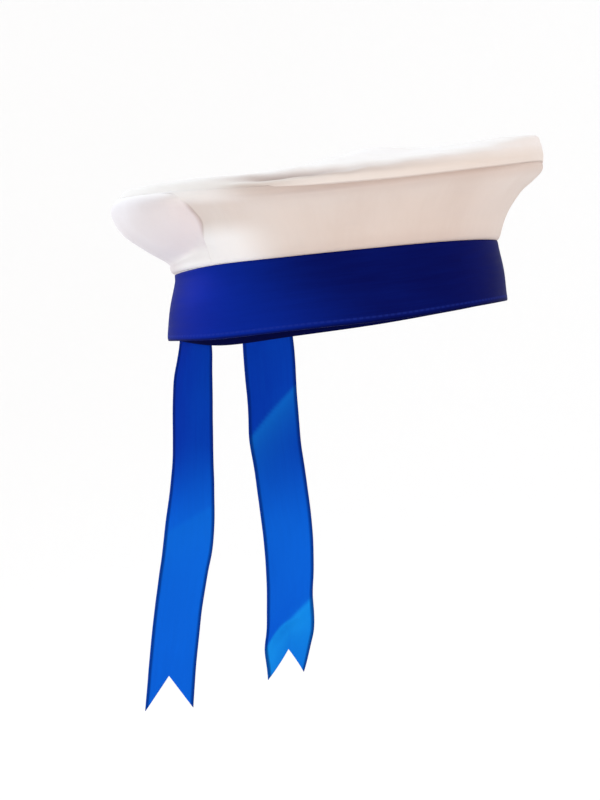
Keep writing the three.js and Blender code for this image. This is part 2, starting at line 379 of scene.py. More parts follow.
def on_cloth(dye):
    """A point's place on the cloth map, and how far along and up the cloth it is in mm."""
    place = dye.node("ShaderNodeUVMap", {"uv_map": "cloth"})
    parts = dye.node("ShaderNodeSeparateXYZ", None, {"Vector": place})
    return place, parts.other("X") / MM, parts.other("Y") / MM


NAVY_DEEP = colour(9, 15, 88)
NAVY = colour(13, 26, 120)
NAVY_LIT = colour(12, 44, 160)
NAVY_EDGE = colour(6, 10, 58)
NAVY_INNER_SHADE = colour(9, 14, 66)
NAVY_STITCH_AND_HIGHLIGHT = colour(40, 62, 170)
BAND_GLOSS = 0.3
BAND_DULLNESS = 0.47
FLOAT_MM = 0.45
SATIN_RELIEF = 0.3
HEM_STITCH_UP = 2.6
HEM_STITCH_MM = 3.2
# Where the band is painted lighter as a painted highlight, in mm along it.
HIGHLIGHT_FROM_MM = 335.0
HIGHLIGHT_FROM_RISE = 85.0
HIGHLIGHT_TO_MM = 526.0
HIGHLIGHT_TO_FALL = 80.0
HIGHLIGHT_SLANT = 0.75


def satin(name, body, lit, gloss):
    """Satin: long glossy threads side by side along the strip, closer and duller in places."""
    material, dye = finish(name, body, {
        "Specular IOR Level": 0.03,
        "Specular Tint": lit,
        "Metallic": gloss,
    })
    place, along, up = on_cloth(dye)
    floats = (up * (2 * pi / FLOAT_MM)).wave()
    slub = dye.grain(place, scale=300.0, detail=4.0, stretch=(0.1, 1.0, 1.0))
    streak = dye.grain(place, scale=1100.0, detail=2.0, stretch=(0.03, 1.0, 1.0))
    cloud = dye.grain(place, scale=16.0, detail=2.0, stretch=(0.5, 1.0, 1.0))
    return SimpleNamespace(
        material=material, dye=dye, along=along, up=up, slub=slub,
        uneven=cloud * 0.6 + slub * 0.25 + streak * 0.15,
        weave=floats * 0.1 + slub * 0.35 + streak * 0.3,
    )


def band_finish():
    """Up the map: hem edge, row of hem stitches, face, neck edge, then the inner face, painted darker
    as shade.
    """
    cloth = satin("band satin", NAVY, NAVY_LIT, BAND_GLOSS)
    along, up = cloth.along, cloth.up
    hem_edge = 1 - up.step(0.3, 1.8)
    past_neck = (kept(cloth.dye, "past_start") - kept(cloth.dye, "to_end")) / 2
    neck_edge = past_neck.step(-2.6, -1.2) * 0.6
    inner_shade = past_neck.step(0.7, 1.7)
    stitch_row = 1 - up.away_from(HEM_STITCH_UP).step(0.3, 0.8)
    stitches = stitch_row * (along * (2 * pi / HEM_STITCH_MM)).wave().step(-0.5, 0.1)
    # On the wearer's right the satin is painted lighter, a painted highlight where the lamp behind it
    # catches the gloss, and it is deepest at the front.
    highlight_from = along.step(HIGHLIGHT_FROM_MM, HIGHLIGHT_FROM_MM + HIGHLIGHT_FROM_RISE)
    highlight_to = (along + up * HIGHLIGHT_SLANT).step(HIGHLIGHT_TO_MM - HIGHLIGHT_TO_FALL, HIGHLIGHT_TO_MM)
    painted_highlight = highlight_from * (1 - highlight_to)
    tone = (cloth.uneven.step(0.3, 0.7) * 0.26 + painted_highlight * 0.74).held().blend(NAVY_DEEP, NAVY_LIT)
    edged = ((hem_edge + neck_edge).held() * 0.75).blend(tone, NAVY_EDGE)
    # The inner face is the same satin, painted darker there as painted shade.
    inner_shaded = (inner_shade * 0.9).blend(edged, NAVY_INNER_SHADE)
    # The stitches are thread colour; the thin lighter line along their row is a painted highlight on
    # the turned-up hem.
    stitched = (stitch_row * 0.16 + stitches * 0.14).blend(inner_shaded, NAVY_STITCH_AND_HIGHLIGHT)
    relief = cloth.weave + stitches * 0.8 - stitch_row * 0.6
    dress(
        cloth.material,
        Base_Color=stitched,
        Roughness=cloth.slub * 0.14 + BAND_DULLNESS,
        Normal=relief.raised(SATIN_RELIEF * MM),
    )
    return cloth.material


headband = spun_cloth("headband_satin", band_line, BAND_THREADS - 1, 0, 360, BAND_AROUND, ring=True)
headband.data.materials.append(band_finish())
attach(headband, "root")
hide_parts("headband")


# Side of the crown. Two half rings of off-white cotton twill, sewn together at the left and
# right. Their lower edge is sewn inside the headband, their upper edge to the crown top.

SIDE_CLOTH = 1.6
TOP_CLOTH = 1.8
GAP = 0.3
TUCK_IN_BAND = 8
TUCK_IN_ROLL_SHARE = 0.6
TUCK_IN_ROLL_LESS = 1.3
FLUSH = 0.5
SIDE_AROUND = 360
SIDE_THREADS = 84
SIDE_CURVE_STEPS = 10
SIDE_SEWN_REACH = 6
LAP_DEG = 0.08
SEAM_BEARING = 90
SEAM_LEAN = 3.6
SEAM_LEAN_REACH = 17
SEAM_LEAN_FOOT = (46, 60)
SEAM_LEAN_HEAD = (66, 74)
ROLL_BEGINS = (-86, -38)
ROLL_ENDS = (160, 190)

# The rim seam and the roll above it, then how the top swells towards its middle.
TOP = table(
    "bearing seam_r seam_h fold_up puff_in puff_up field_h inner_h",
    (0, 116.0, 65.7, 7.6, 7.5, 11.0, 80.5, 86.0),
    (30, 118.0, 69.5, 9.0, 6.0, 15.0, 85.0, 89.0),
    (60, 118.0, 71.0, 9.0, 6.0, 15.0, 86.0, 89.5),
    (90, 117.5, 71.5, 8.5, 8.0, 13.0, 85.5, 88.5),
    (120, 116.0, 72.0, 8.0, 8.0, 12.0, 84.0, 86.0),
    (150, 114.5, 73.5, 7.0, 8.0, 10.0, 83.5, 84.0),
    (180, 112.5, 76.0, 5.0, 8.0, 7.0, 83.5, 83.5),
    (210, 110.5, 77.2, 3.2, 6.5, 4.6, 84.0, 83.0),
    (240, 110.0, 75.0, 3.4, 7.0, 5.0, 81.5, 82.0),
    (270, 110.5, 70.5, 4.8, 8.0, 7.0, 78.4, 81.0),
    (300, 112.5, 65.4, 4.8, 8.0, 9.0, 77.4, 82.0),
    (330, 113.5, 63.5, 7.5, 8.0, 10.8, 78.8, 84.5),
)

# Steps outward and upward from the neck. The front half flares in a hollow curve.
FRONT_SIDE = table(
    "bearing low_out low_up mid_out mid_up high_out high_up wide_out wide_up",
    (-90, 2.2, 11.0, 7.7, 19.8, 15.0, 27.0, 21.5, 33.0),
    (-84, 4.6, 11.0, 10.4, 21.5, 16.8, 28.0, 22.0, 32.5),
    (-60, 4.6, 12.0, 11.3, 22.0, 17.2, 27.2, 21.8, 30.4),
    (-30, 4.4, 12.0, 11.6, 21.0, 17.6, 26.2, 22.2, 29.4),
    (0, 5.0, 12.5, 12.8, 22.3, 19.2, 27.6, 24.6, 31.6),
    (30, 5.0, 13.0, 13.6, 24.4, 20.6, 30.0, 25.8, 34.2),
    (60, 5.0, 13.0, 13.6, 25.0, 21.0, 30.5, 26.0, 35.0),
    (84, 4.4, 12.0, 12.4, 23.5, 19.8, 30.0, 25.6, 35.0),
    (90, 2.4, 10.5, 9.6, 21.5, 17.4, 29.5, 24.6, 35.2),
)

# The back half hangs out over the band as a soft pouch, pulled in at both side seams.
BACK_SIDE = table(
    "bearing low_out low_up mid_out mid_up high_out high_up wide_out wide_up",
    (90, 2.4, 10.5, 9.6, 21.5, 17.4, 29.5, 24.6, 35.2),
    (95, 1.8, 10.2, 12.0, 19.4, 21.4, 27.6, 26.8, 34.8),
    (103, 1.2, 8.2, 14.0, 17.8, 25.0, 26.8, 28.6, 35.0),
    (120, 1.2, 7.4, 14.6, 17.8, 26.0, 27.8, 29.8, 36.0),
    (150, 1.2, 7.2, 14.4, 18.5, 26.0, 28.8, 29.8, 37.2),
    (180, 1.0, 7.2, 14.2, 18.8, 26.2, 29.6, 29.4, 38.4),
    (210, 1.0, 6.8, 13.6, 16.2, 25.8, 27.4, 29.0, 37.6),
    (238, 1.0, 6.6, 13.0, 14.8, 24.8, 24.8, 28.6, 35.0),
    (248, 0.9, 6.8, 13.4, 14.6, 24.8, 24.6, 28.8, 34.6),
    (258, 0.9, 8.4, 13.4, 15.0, 24.4, 24.8, 28.6, 34.0),
    (265, 1.4, 11.0, 11.4, 17.2, 21.2, 25.4, 26.2, 33.6),
    (270, 2.2, 11.0, 7.7, 19.8, 15.0, 27.0, 21.5, 33.0),
)

# Soft creases up the side: where, how wide in degrees and how far they stand out in mm.
CREASES = table(
    "bearing half_width rise",
    (-78, 5, 1.1),
    (-52, 7, -0.9),
    (-22, 5, -1.2),
    (8, 6, 1.3),
    (36, 5, -1.1),
    (112, 7, -1.5),
    (138, 7, 1.4),
    (171, 8, -1.6),
    (198, 8, 1.3),
    (229, 7, -1.2),
    (251, 6, 1.0),
)


def hump(value, middle, half_width):
    """1 at the middle, dying away softly on both sides."""
    return exp(-(((value - middle) / half_width) ** 2))


def fading(distance, reach):
    """1 at the edge, dying away over about that reach past it."""
    return exp(-max(0.0, distance) / reach)


def share_of(value, whole):
    """A value's share of a whole, held between 0 and 1."""
    return max(0.0, min(1.0, value / whole))


def ramp(value, low, high):
    """0 below low, 1 above high, and a soft rise between."""
    share = share_of(value - low, high - low)
    return share * share * (3 - 2 * share)


def rumple(bearing, across, size, seed):
    """Smooth unevenness from about -1 to 1, round the cap and across the cloth in mm."""
    angle = radians(bearing)
    reach = 100.0 / size
    return noise.noise(Vector((reach * cos(angle), reach * sin(angle), across / size + seed)))


def crease_at(bearing):
    """How far the creases stand out from the side at a bearing, in mm."""
    return sum(
        crease["rise"] * hump(bearing, crease["bearing"], crease["half_width"]) for crease in CREASES
    )


def from_front(bearing):
    """The same bearing between -180 and 180."""
    return (bearing + 180) % 360 - 180


def rolled(bearing):
    """How firmly the rim is rolled: 1 round the front and left, 0 over the pouch at the right."""
    if from_front(bearing) < 0:
        return ramp(from_front(bearing), *ROLL_BEGINS)
    firm, loose = ROLL_ENDS
    return ramp(-(bearing % 360), -loose, -firm)


def side_line(rows, bearing):
    """Up the outer face of the side, from the edge inside the band to the edge inside the roll."""
    side = row_at(rows, bearing, False)
    band = row_at(BAND, bearing)
    top = row_at(TOP, bearing)
    neck_r, neck_h = band["neck_r"], band["neck_h"]
    tucked = neck_r - BAND_CLOTH - GAP
    under_roll = top["seam_r"] - FLUSH - (TOP_CLOTH + GAP - FLUSH) * rolled(bearing)
    tuck_up = max(GAP, TUCK_IN_ROLL_SHARE * top["fold_up"] - TUCK_IN_ROLL_LESS)
    crease = crease_at(bearing)
    # Out of the band, up through the table's four points, and in under the roll.
    points = [
        [tucked, neck_h - TUCK_IN_BAND],
        [tucked, neck_h + GAP],
        [neck_r + 0.2, neck_h + 2.2],
        [neck_r + side["low_out"], neck_h + side["low_up"]],
        [neck_r + side["mid_out"] + crease, neck_h + side["mid_up"]],
        [neck_r + side["high_out"] + crease, neck_h + side["high_up"]],
        [neck_r + side["wide_out"], neck_h + side["wide_up"]],
        [under_roll, top["seam_h"]],
        [under_roll, top["seam_h"] + tuck_up],
    ]
    line, length = spread(smooth(points, SIDE_CURVE_STEPS), SIDE_THREADS)
    placed = []
    for i, (radius, height) in enumerate(line):
        above_neck = height - neck_h
        below_rim = length * (1 - i / SIDE_THREADS) - tuck_up
        free = share_of(above_neck, SIDE_SEWN_REACH) * share_of(below_rim, SIDE_SEWN_REACH)
        gathers = fading(above_neck, 7) * rumple(bearing, 0, size=5.5, seed=11.0) * 0.45
        pulls = fading(below_rim, 5) * rumple(bearing, 0, size=7.5, seed=23.0) * 0.4
        soft = rumple(bearing, height, size=30, seed=3.0) * 0.9
        soft += rumple(bearing, height, size=11, seed=7.0) * 0.28
        placed.append([radius + free * (soft + gathers + pulls), height])
    return placed, length


# The sides are one off-white cloth: its front tones are darker and warmer as painted warm shade, its
# back tones cooler as painted cool light.
CREAM = colour(227, 215, 207)
WHITE = colour(233, 223, 216)
COOL_LIT_CREAM = colour(235, 228, 230)
COOL_LIT_WHITE = colour(240, 234, 237)
WORN_AND_LIT_WHITE = colour(254, 252, 251)
SHADED = colour(216, 199, 190)
SEAM_SHADE = colour(176, 154, 146)
TWILL_MM = 0.75
TWILL_RELIEF = 0.18
RUBBED_AT_MM = 30.0
SEAM_STITCH_OFF = 4.0
SEAM_STITCH_MM = 2.6


def cotton(name):
    """Cotton twill: fine diagonal ribs over crossing threads, a little uneven in colour."""
    material, dye = finish(name, CREAM, {
        "Specular IOR Level": 0.25,
        "Sheen Weight": 0.15,
        "Sheen Roughness": 0.5,
        "Sheen Tint": WHITE,
    })
    place, along, up = on_cloth(dye)
    ribs = ((along + up) * (2 * pi / TWILL_MM)).wave()
    warp = (along * (4 * pi / TWILL_MM)).wave()
    weft = (up * (4 * pi / TWILL_MM)).wave()
    slub = dye.grain(place, scale=420.0, detail=3.0, stretch=(1.0, 0.3, 1.0))
    cross_slub = dye.grain(place, scale=420.0, detail=3.0, stretch=(0.3, 1.0, 1.0))
    cloud = dye.grain(place, scale=24.0, detail=3.0, stretch=(1.0, 0.4, 1.0))
    fleck = dye.grain(place, scale=1300.0, detail=2.0)
    return SimpleNamespace(
        material=material, dye=dye, along=along, up=up,
        uneven=cloud * 0.85 + slub * 0.15,
        flecks=fleck.step(0.62, 0.75),
        weave=ribs * 0.5 + warp * weft * 0.25 + slub * 0.35 + cross_slub * 0.35,
        dullness=slub * 0.12 + 0.78,
    )


def mark(piece, name, amount_at):
    """Keeps a number at each point of a cloth, found from its place on the untipped cap."""
    marks = piece.data.attributes.new(name, "FLOAT", "POINT")
    for spot, vert in zip(marks.data, piece.data.vertices):
        spot.value = amount_at(tip_back.transposed() @ vert.co)


def bearing_of(at):
    """The bearing of a place on the untipped cap."""
    return degrees(atan2(at.x, -at.y))


def side_cotton(name, duller, paler, lit_patch_up):
    """Twill of the sides, between two tones, with a painted light patch up to a height above the band
    in mm.
    """
    cloth = cotton(name)
    tone = cloth.uneven.step(0.34, 0.68).blend(duller, paler)
    from_seam = kept(cloth.dye, "from_side_seam")
    to_end = kept(cloth.dye, "to_end")
    roll = kept(cloth.dye, "rolled")
    # Painted shade just above the band, and painted light in a pale patch at the foot of the seam,
    # where the cloth faces the light.
    above_band = cloth.up - TUCK_IN_BAND
    near_band = 1 - above_band.step(0.0, 10.0)
    shaded = (near_band * 0.45).blend(tone, SHADED)
    lit_patch = (1 - from_seam.step(18.0, 46.0)) * (1 - above_band.step(lit_patch_up / 2, lit_patch_up))
    pale = (lit_patch * 0.95).blend(shaded, WORN_AND_LIT_WHITE)
    # A little left of the middle of the front it is rubbed paler, and it is painted darker under the
    # rim as painted shade.
    rubbed = (1 - cloth.along.away_from(RUBBED_AT_MM).step(12.0, 48.0)) * 0.3
    under_rim = (1 - to_end.step(3.0, 13.0)) * (roll * 0.35 + 0.1)
    rubbed_and_rim_shaded = under_rim.blend(rubbed.blend(pale, WORN_AND_LIT_WHITE), SHADED)
    # Over the pouch the side turns up smoothly into the top, and there it is painted as white as the
    # top, as painted light.
    turned = (1 - to_end.step(1.0, 10.0)) * (1 - roll).step(0.55, 1.0) * 0.8
    turned_lit = turned.blend(rubbed_and_rim_shaded, WORN_AND_LIT_WHITE)
    flecked = (cloth.flecks * 0.15).blend(turned_lit, SHADED)
    # The seam line up the side, a row of stitches on each side of it, and the rim seam's line, which
    # is also painted shade under the roll.
    seam_line = (1 - from_seam.step(0.3, 2.2)) * above_band.step(14.0, 24.0) * to_end.step(3.0, 12.0)
    stitch_row = 1 - from_seam.away_from(SEAM_STITCH_OFF).step(0.2, 0.6)
    stitches = stitch_row * (cloth.up * (2 * pi / SEAM_STITCH_MM)).wave().step(-0.4, 0.1)
    rim_line = (1 - to_end.step(2.6, 5.2)) * roll
    sewn = (seam_line * 0.55 + rim_line * 0.45).held().blend(flecked, SEAM_SHADE)
    relief = cloth.weave - seam_line * 3.0 + stitches * 1.4 - stitch_row * 0.8
    dress(
        cloth.material,
        Base_Color=sewn,
        Roughness=cloth.dullness,
        Normal=relief.raised(TWILL_RELIEF * MM),
    )
    return cloth.material


def lean_seams(piece):
    """Leans both side seams forward between the neck and the rim, by a few degrees."""
    low, high = SEAM_LEAN_HEAD
    for vert in piece.data.vertices:
        at = tip_back.transposed() @ vert.co
        height = at.z / MM
        near = hump(abs(bearing_of(at)), SEAM_BEARING, SEAM_LEAN_REACH)
        lean = SEAM_LEAN * near * ramp(height, *SEAM_LEAN_FOOT) * ramp(-height, -high, -low)
        turned = Matrix.Rotation(radians(lean if at.x < 0 else -lean), 3, "Z") @ at
        vert.co = tip_back @ turned


def add_wall(piece, thickness):
    """Gives a cloth its thickness in mm, inwards from the face that shows."""
    wall = piece.modifiers.new("cloth", "SOLIDIFY")
    wall.thickness = thickness * MM
    wall.offset = -1


def side_piece(name, rows, start, side_finish, node):
    """One half ring, from the seam where it starts to the other, lapped a little at both."""
    piece = spun_cloth(
        name, lambda bearing: side_line(rows, bearing), SIDE_THREADS,
        start - LAP_DEG, 180 + 2 * LAP_DEG, SIDE_AROUND,
    )
    mark(piece, "from_side_seam", lambda at: abs(at.y) / MM)
    mark(piece, "rolled", lambda at: rolled(bearing_of(at)))
    lean_seams(piece)
    piece.data.materials.append(side_finish)
    add_wall(piece, SIDE_CLOTH)
    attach(piece, "root")
    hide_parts(node)


# The same cloth in both halves: painted warm shade at the front, painted cool light at the back.
side_piece(
    "crown_front_cloth", FRONT_SIDE, -SEAM_BEARING,
    side_cotton("front side cotton", CREAM, WHITE, lit_patch_up=27.0), "crown_front_panel",
)
side_piece(
    "crown_back_cloth", BACK_SIDE, SEAM_BEARING,
    side_cotton("back side cotton", COOL_LIT_CREAM, COOL_LIT_WHITE, lit_patch_up=14.0), "crown_back_panel",
)


# Crown top. One wide round of the same twill, soft and a little pillowed. Its edge is turned
# down over its own seam allowance, which makes the rolled rim, and is sewn to the sides.

TOP_AROUND = 360
TOP_THREADS = 110
TOP_CURVE_STEPS = 12
TOP_WALL = 1.1
TOP_REACH = 132
ROLL_SHARE = 0.24
FLAT_SHARE = 0.2
ROLL_HEIGHT_SHARE = 0.45
ROLL_OVER_SHARE = 0.86
UPRIGHT_AT = 34
UPRIGHT_REACH = 26
FURROW_AT = -45
FURROW_REACH = 26
FURROW_DEEP = 0.8
DENT_AT = -57
DENT_REACH = 12
DENT_DEEP = 1.8
SHOULDER_IN = 26
SHOULDER_SHARE = 0.55
FIELD_RADIUS = 58
INNER_RADIUS = 28
CENTRE_HEIGHT = 85


def furrow_at(bearing):
    """How far the top sinks in behind the roll in mm: deepest where the roll begins."""
    along_roll = hump(from_front(bearing), FURROW_AT, FURROW_REACH)
    dent = hump(from_front(bearing), DENT_AT, DENT_REACH)
    return FURROW_DEEP * rolled(bearing) * along_roll + DENT_DEEP * dent


def top_line(bearing):
    """From the turned-in edge under the rim, out round the roll and in to the middle."""
    top = row_at(TOP, bearing)
    seam_r, seam_h, fold_up = top["seam_r"], top["seam_h"], top["fold_up"]
    puffed = seam_h + top["puff_up"]
    roll = rolled(bearing)
    # The roll lies flatter at the left front, where the top stands up straight above it.
    upright = hump(from_front(bearing), UPRIGHT_AT, UPRIGHT_REACH)
    stout = ROLL_SHARE * (1 - 0.75 * upright)
    bulge = fold_up * (stout * roll - FLAT_SHARE * (1 - roll))
    over = fold_up * (0.5 * stout * roll - 2.4 * FLAT_SHARE * (1 - roll))
    furrow = furrow_at(bearing)
    points = [
        [seam_r - 1.5, seam_h + 0.25],
        [seam_r - 0.6, seam_h],
        [seam_r, seam_h + 0.35],
        [seam_r + bulge, seam_h + ROLL_HEIGHT_SHARE * fold_up],
        [seam_r + over, seam_h + ROLL_OVER_SHARE * fold_up],
        [seam_r + over - 1.6 + 1.2 * upright - furrow, seam_h + fold_up + 1.0 - furrow],
        [seam_r - top["puff_in"] + 2.2 * upright, puffed],
        [seam_r - SHOULDER_IN, SHOULDER_SHARE * puffed + (1 - SHOULDER_SHARE) * top["field_h"]],
        [FIELD_RADIUS, top["field_h"]],
        [INNER_RADIUS, top["inner_h"]],
        [0, CENTRE_HEIGHT],
    ]
    line, length = spread(smooth(points, TOP_CURVE_STEPS), TOP_THREADS)
    angle = radians(bearing)
    placed = []
    for i, (radius, height) in enumerate(line):
        run = length * i / TOP_THREADS
        past_roll = run - fold_up - 3
        ripple = fading(past_roll, 12) * rumple(bearing, 0, size=9, seed=31.0) * 0.7
        ripple *= share_of(run - 3, 5)
        spot = Vector((radius * sin(angle), radius * cos(angle), 0.0))
        dents = noise.noise(spot / 38 + Vector((0, 0, 5.0))) * 1.8
        dents += noise.noise(spot / 15 + Vector((0, 0, 9.0))) * 0.4
        dents *= share_of(past_roll, 20)
        placed.append([radius, height + ripple + dents])
    placed[-1][0] = 0.0
    return placed, length


def close_middle(piece):
    """Joins the threads that meet at the middle of the crown, and lays its map out flat."""
    bm = bmesh.new()
    bm.from_mesh(piece.data)
    cloth_map = bm.loops.layers.uv["cloth"]
    for face in bm.faces:
        for loop in face.loops:
            along, up = loop[cloth_map].uv
            angle = along / (BAND_MIDDLE_RADIUS * MM)
            reach = TOP_REACH * MM - up
            loop[cloth_map].uv = (reach * sin(angle), -reach * cos(angle))
    bmesh.ops.remove_doubles(bm, verts=bm.verts[:], dist=0.00001)
    bmesh.ops.recalc_face_normals(bm, faces=bm.faces[:])
    bm.to_mesh(piece.data)
    bm.free()


TOP_LIT_CREAM = colour(247, 244, 242)
TOP_LIT_WHITE = colour(252, 250, 250)
ROLL_SHADE_TONE = colour(241, 233, 224)


def top_cotton():
    """Twill of the top, the same cloth painted whiter as painted light, and painted darker round the
    rim as painted shade.
    """
    cloth = cotton("top cotton")
    tone = cloth.uneven.step(0.3, 0.7).blend(TOP_LIT_CREAM, TOP_LIT_WHITE)
    past_seam = kept(cloth.dye, "past_start")
    roll = kept(cloth.dye, "rolled")
    flecked = (cloth.flecks * 0.12).blend(tone, SHADED)
    # The roll, which turns down like the sides, is painted darker and yellower as painted shade; its
    # seam line and the furrow over it are painted darker still, as painted shade.
    on_roll = (1 - past_seam.step(5.0, 12.0)) * (roll * 0.2 + 0.4)
    roll_shaded = on_roll.blend(flecked, ROLL_SHADE_TONE)
    behind_roll = past_seam.step(5.0, 7.5) * (1 - past_seam.step(9.5, 15.0))
    in_furrow = behind_roll * kept(cloth.dye, "furrow")
    furrow_shaded = (in_furrow * 0.36).held().blend(roll_shaded, SEAM_SHADE)
    # Where the roll begins its lower edge is still level with the side, and painted the side's cream,
    # with its painted warm shade.
    level = (1 - past_seam.step(3.0, 6.0)) * roll.step(0.1, 0.35) * (1 - roll.step(0.4, 0.95))
    dulled = level.blend(furrow_shaded, CREAM)
    # The painted shade line along the seam under the roll.
    seam_line = (1 - past_seam.step(1.4, 2.6)) * roll
    edged = (seam_line * 0.45).blend(dulled, SEAM_SHADE)
    dress(
        cloth.material,
        Base_Color=edged,
        Roughness=cloth.dullness,
        Normal=cloth.weave.raised(TWILL_RELIEF * MM),
    )
    return cloth.material


crown_top = spun_cloth("crown_top_cloth", top_line, TOP_THREADS, 0, 360, TOP_AROUND)
close_middle(crown_top)
mark(crown_top, "rolled", lambda at: rolled(bearing_of(at)))
mark(crown_top, "furrow", lambda at: furrow_at(bearing_of(at)))
crown_top.data.materials.append(top_cotton())
add_wall(crown_top, TOP_WALL)
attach(crown_top, "root")
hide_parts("crown_top")


# Ribbon tails. Two lengths of 32 mm royal blue satin ribbon with woven edges, sewn flat to
# the outside of the band at the back and cut into two points at their lower ends.

RIBBON_WIDTH = 32
RIBBON_LENGTH = 250
RIBBON_CLOTH = 0.55
RIBBON_ACROSS = 32
RIBBON_ALONG = 200
RIBBON_RIPPLE = 0.25
NOTCH_START_Z = -190

# Down the middle of each ribbon: its place, the bearing it faces, and its bow across in mm.
RIGHT_TAIL = table(
    "x y z facing bow",
    (-21.2, 88.8, 16.0, 194, 1.4),
    (-22.0, 89.8, 2.0, 194, 1.4),
    (-22.6, 90.1, -10.0, 194, 1.4),
    (-22.9, 90.4, -18.0, 193, 1.4),
    (-22.8, 91.3, -26.0, 189, 1.6),
    (-23.1, 92.5, -37.0, 185, 1.8),
    (-23.1, 93.5, -51.0, 183, 2.4),
    (-21.8, 95.0, -72.0, 182, 2.6),
    (-20.6, 96.0, -86.0, 180, 2.4),
    (-19.5, 97.0, -100.0, 175, 2.0),
    (-18.9, 97.8, -114.0, 169, 1.2),
    (-19.1, 98.6, -127.0, 165, 0.5),
    (-20.8, 99.4, -141.0, 164, 0.6),
    (-23.3, 100.6, -154.0, 166, 0.9),
    (-26.4, 102.0, -175.0, 168, 1.0),
    (-28.0, 103.0, -192.0, 168, 0.8),
    (-29.2, 104.0, -209.0, 169, 0.5),
    (-30.6, 105.0, -232.0, 168, 0.3),
)
LEFT_TAIL = table(
    "x y z facing bow",
    (30.4, 87.4, 16.0, 160, 1.4),
    (31.4, 87.6, 2.0, 160, 1.4),
    (32.0, 87.4, -10.0, 160, 1.4),
    (32.4, 87.2, -18.0, 159, 1.4),
    (34.2, 87.8, -27.0, 155, 1.2),
    (36.0, 87.5, -43.0, 153, 1.0),
    (37.2, 87.0, -57.0, 157, 0.8),
    (38.8, 86.5, -79.0, 160, 0.8),
    (40.7, 86.0, -94.0, 160, 1.2),
    (43.1, 85.8, -109.0, 158, 1.4),
    (45.4, 85.5, -124.0, 157, 1.4),
    (47.1, 85.0, -139.0, 158, 1.6),
    (48.1, 84.8, -153.0, 160, 1.8),
    (48.9, 84.5, -168.0, 160, 1.6),
    (49.2, 84.3, -183.0, 161, 1.6),
    (48.6, 84.0, -196.0, 166, 1.8),
    (47.6, 84.2, -208.0, 174, 0.8),
    (47.4, 84.4, -224.0, 184, -1.6),
)

# Creases that run slantwise across a ribbon: the height where each meets the edge towards
# the wearer's left and right, how far the cloth stands out, and how soon that dies away.
# Below each crease the satin faces up into the light, and it is painted paler there as painted light.
RIGHT_CREASES = table(
    "left_z right_z rise above below pale fade",
    (-112, -126, 1.4, 14, 12, 0.12, 30),
)
LEFT_CREASES = table(
    "left_z right_z rise above below pale fade",
    (-46, -77, 3.0, 9, 13, 0.42, 16),
    (-176, -205, 4.2, 11, 8, 0.95, 60),
)

ROYAL_DEEP = colour(8, 58, 184)
ROYAL = colour(16, 88, 210)
ROYAL_LIT = colour(14, 108, 236)
ROYAL_CREASE_LIGHT = colour(22, 150, 250)
ROYAL_EDGE = colour(6, 34, 116)
RIBBON_GLOSS = 0.45
RIBBON_DULLNESS = 0.38
SELVAGE_MM = (13.2, 15.0)
LIT_END_MM = (100.0, 160.0)


def ribbon_finish():
    """Satin with a close woven edge, painted lighter towards the lower end and below the creases as
    painted light.
    """
    cloth = satin("ribbon satin", ROYAL, ROYAL_LIT, RIBBON_GLOSS)
    selvage = cloth.up.away_from(0.0).step(*SELVAGE_MM)
    # Painted light and shade: darker near the band under the crown, lighter towards the lower end.
    lower_end_lit = cloth.along.step(*LIT_END_MM)
    tone = (cloth.uneven.step(0.3, 0.7) * 0.2 + lower_end_lit * 0.75).blend(ROYAL_DEEP, ROYAL_LIT)
    # Painted light below each crease.
    creased = kept(cloth.dye, "crease_light").blend(tone, ROYAL_CREASE_LIGHT)
    edged = (selvage * 0.75).blend(creased, ROYAL_EDGE)
    relief = cloth.weave + selvage * 1.2
    dress(
        cloth.material,
        Base_Color=edged,
        Roughness=cloth.slub * 0.14 + RIBBON_DULLNESS,
        Normal=relief.raised(SATIN_RELIEF * MM),
    )
    return cloth.material


def ribbon_station(rows, share):
    """The ribbon's place, facing and bow at a share of its length."""
    spot = share * (len(rows) - 1)
    row = min(int(spot), len(rows) - 2)
    four = [rows[max(0, min(len(rows) - 1, row + i))] for i in (-1, 0, 1, 2)]
    return {key: curve(*(at[key] for at in four), spot - row) for key in rows[0]}


